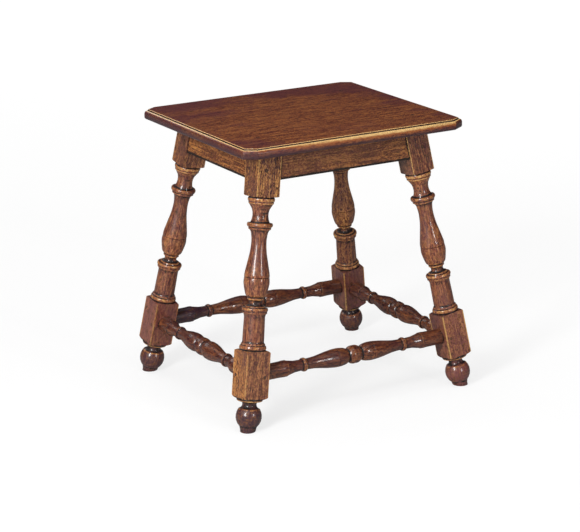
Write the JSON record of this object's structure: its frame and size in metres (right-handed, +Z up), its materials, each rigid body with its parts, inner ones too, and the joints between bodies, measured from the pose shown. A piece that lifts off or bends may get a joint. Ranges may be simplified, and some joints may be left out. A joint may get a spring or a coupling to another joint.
{
  "type": "joint stool",
  "caption": "Rectangular wooden stool with a moulded, corner-cut seat on splayed turned legs, joined by plain aprons and low turned stretchers.",
  "frame": {"origin": "on the floor, under the middle of the seat", "axes": "+X along the seat's long side, +Y across the seat towards the back, +Z up"},
  "size_m": [0.5246, 0.444, 0.54],
  "materials": {
    "seat_wood": "waxed and polished red-brown wood",
    "leg_wood": "waxed and worn open-grained brown wood",
    "apron_wood": "waxed golden-brown wood",
    "stretcher_wood": "dark, rubbed glossy brown wood",
    "peg_wood": "dark end grain"
  },
  "bodies": {
    "root": {"seat_top": "seat_wood", "leg_front_left": "leg_wood", "leg_front_right": "leg_wood", "leg_back_left": "leg_wood", "leg_back_right": "leg_wood", "apron_front": "apron_wood", "apron_back": "apron_wood", "apron_left": "apron_wood", "apron_right": "apron_wood", "stretcher_front": "stretcher_wood", "stretcher_back": "stretcher_wood", "stretcher_left": "stretcher_wood", "stretcher_right": "stretcher_wood", "seat_pegs": "peg_wood", "apron_pegs": "peg_wood", "stretcher_pegs": "peg_wood"}
  },
  "joints": []
}
